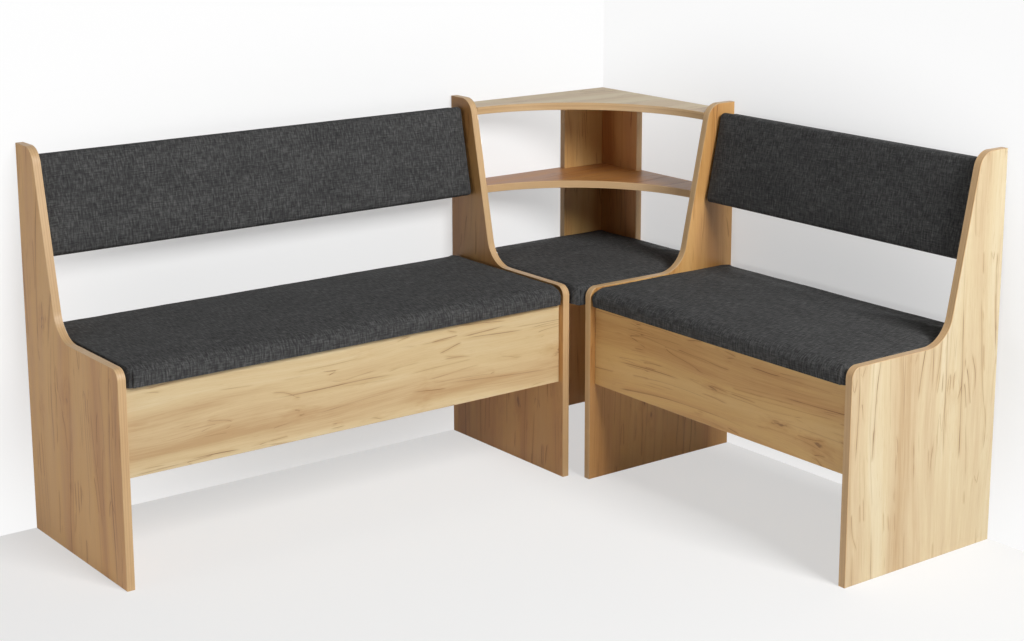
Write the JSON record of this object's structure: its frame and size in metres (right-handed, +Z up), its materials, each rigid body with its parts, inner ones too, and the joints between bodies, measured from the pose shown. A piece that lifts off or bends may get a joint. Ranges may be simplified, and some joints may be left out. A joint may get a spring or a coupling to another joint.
{
  "type": "corner storage bench",
  "caption": "Corner storage bench in oak-look boards, with grey upholstered lift-up seats, padded sloping backrests and a corner seat under concave shelves",
  "frame": {"origin": "the middle of the bounding rectangle on the floor", "axes": "+X along the long bench towards the corner, +Y from the short bench's outer end towards the wall behind the long bench, +Z up"},
  "size_m": [1.59, 1.3, 0.85],
  "materials": {
    "oak_board": "oak-look laminate on chipboard, satin",
    "raw_board": "bare particle board",
    "softwood": "planed softwood",
    "fabric": "woven, dark graphite grey",
    "steel": "zinc-plated sheet",
    "zinc": "die-cast, dull"
  },
  "bodies": {
    "frame": {"long_outer_side": "oak_board", "long_inner_side": "oak_board", "long_apron": "oak_board", "long_box_back": "oak_board", "long_box_bottom": "oak_board", "long_bottom_batten_outer": "softwood", "long_bottom_batten_inner": "softwood", "long_hinge_fixed_leaf": "steel", "long_hinge_pin": "steel", "long_back_board": "raw_board", "long_back_cushion": "fabric", "long_back_bracket_outer_lower": "steel", "long_back_bracket_outer_upper": "steel", "long_back_bracket_inner_lower": "steel", "long_back_bracket_inner_upper": "steel", "long_apron_cam_outer_lower": "zinc", "long_apron_cam_outer_upper": "zinc", "long_apron_cam_inner_lower": "zinc", "long_apron_cam_inner_upper": "zinc", "short_outer_side": "oak_board", "short_inner_side": "oak_board", "short_apron": "oak_board", "short_box_back": "oak_board", "short_box_bottom": "oak_board", "short_bottom_batten_outer": "softwood", "short_bottom_batten_inner": "softwood", "short_hinge_fixed_leaf": "steel", "short_hinge_pin": "steel", "short_back_board": "raw_board", "short_back_cushion": "fabric", "short_back_bracket_outer_lower": "steel", "short_back_bracket_outer_upper": "steel", "short_back_bracket_inner_lower": "steel", "short_back_bracket_inner_upper": "steel", "short_apron_cam_outer_lower": "zinc", "short_apron_cam_outer_upper": "zinc", "short_apron_cam_inner_lower": "zinc", "short_apron_cam_inner_upper": "zinc", "column_left_board": "oak_board", "column_right_board": "oak_board", "top_shelf": "oak_board", "middle_shelf": "oak_board", "corner_seat_board": "raw_board", "corner_seat_cushion": "fabric", "corner_batten_long_side": "softwood", "corner_batten_short_side": "softwood"},
    "long_seat": {"long_seat_board": "raw_board", "long_seat_cushion": "fabric", "long_hinge_moving_leaf": "steel"},
    "short_seat": {"short_seat_board": "raw_board", "short_seat_cushion": "fabric", "short_hinge_moving_leaf": "steel"}
  },
  "joints": [
    {"name": "long_seat_hinge", "type": "hinge", "parent": "frame", "child": "long_seat", "pos_m": [-0.2305, 0.58675, 0.41355], "axis": [-1, 0, 0], "range_deg": [0, 67]},
    {"name": "short_seat_hinge", "type": "hinge", "parent": "frame", "child": "short_seat", "pos_m": [0.73175, -0.236, 0.41355], "axis": [0, 1, 0], "range_deg": [0, 67]}
  ]
}
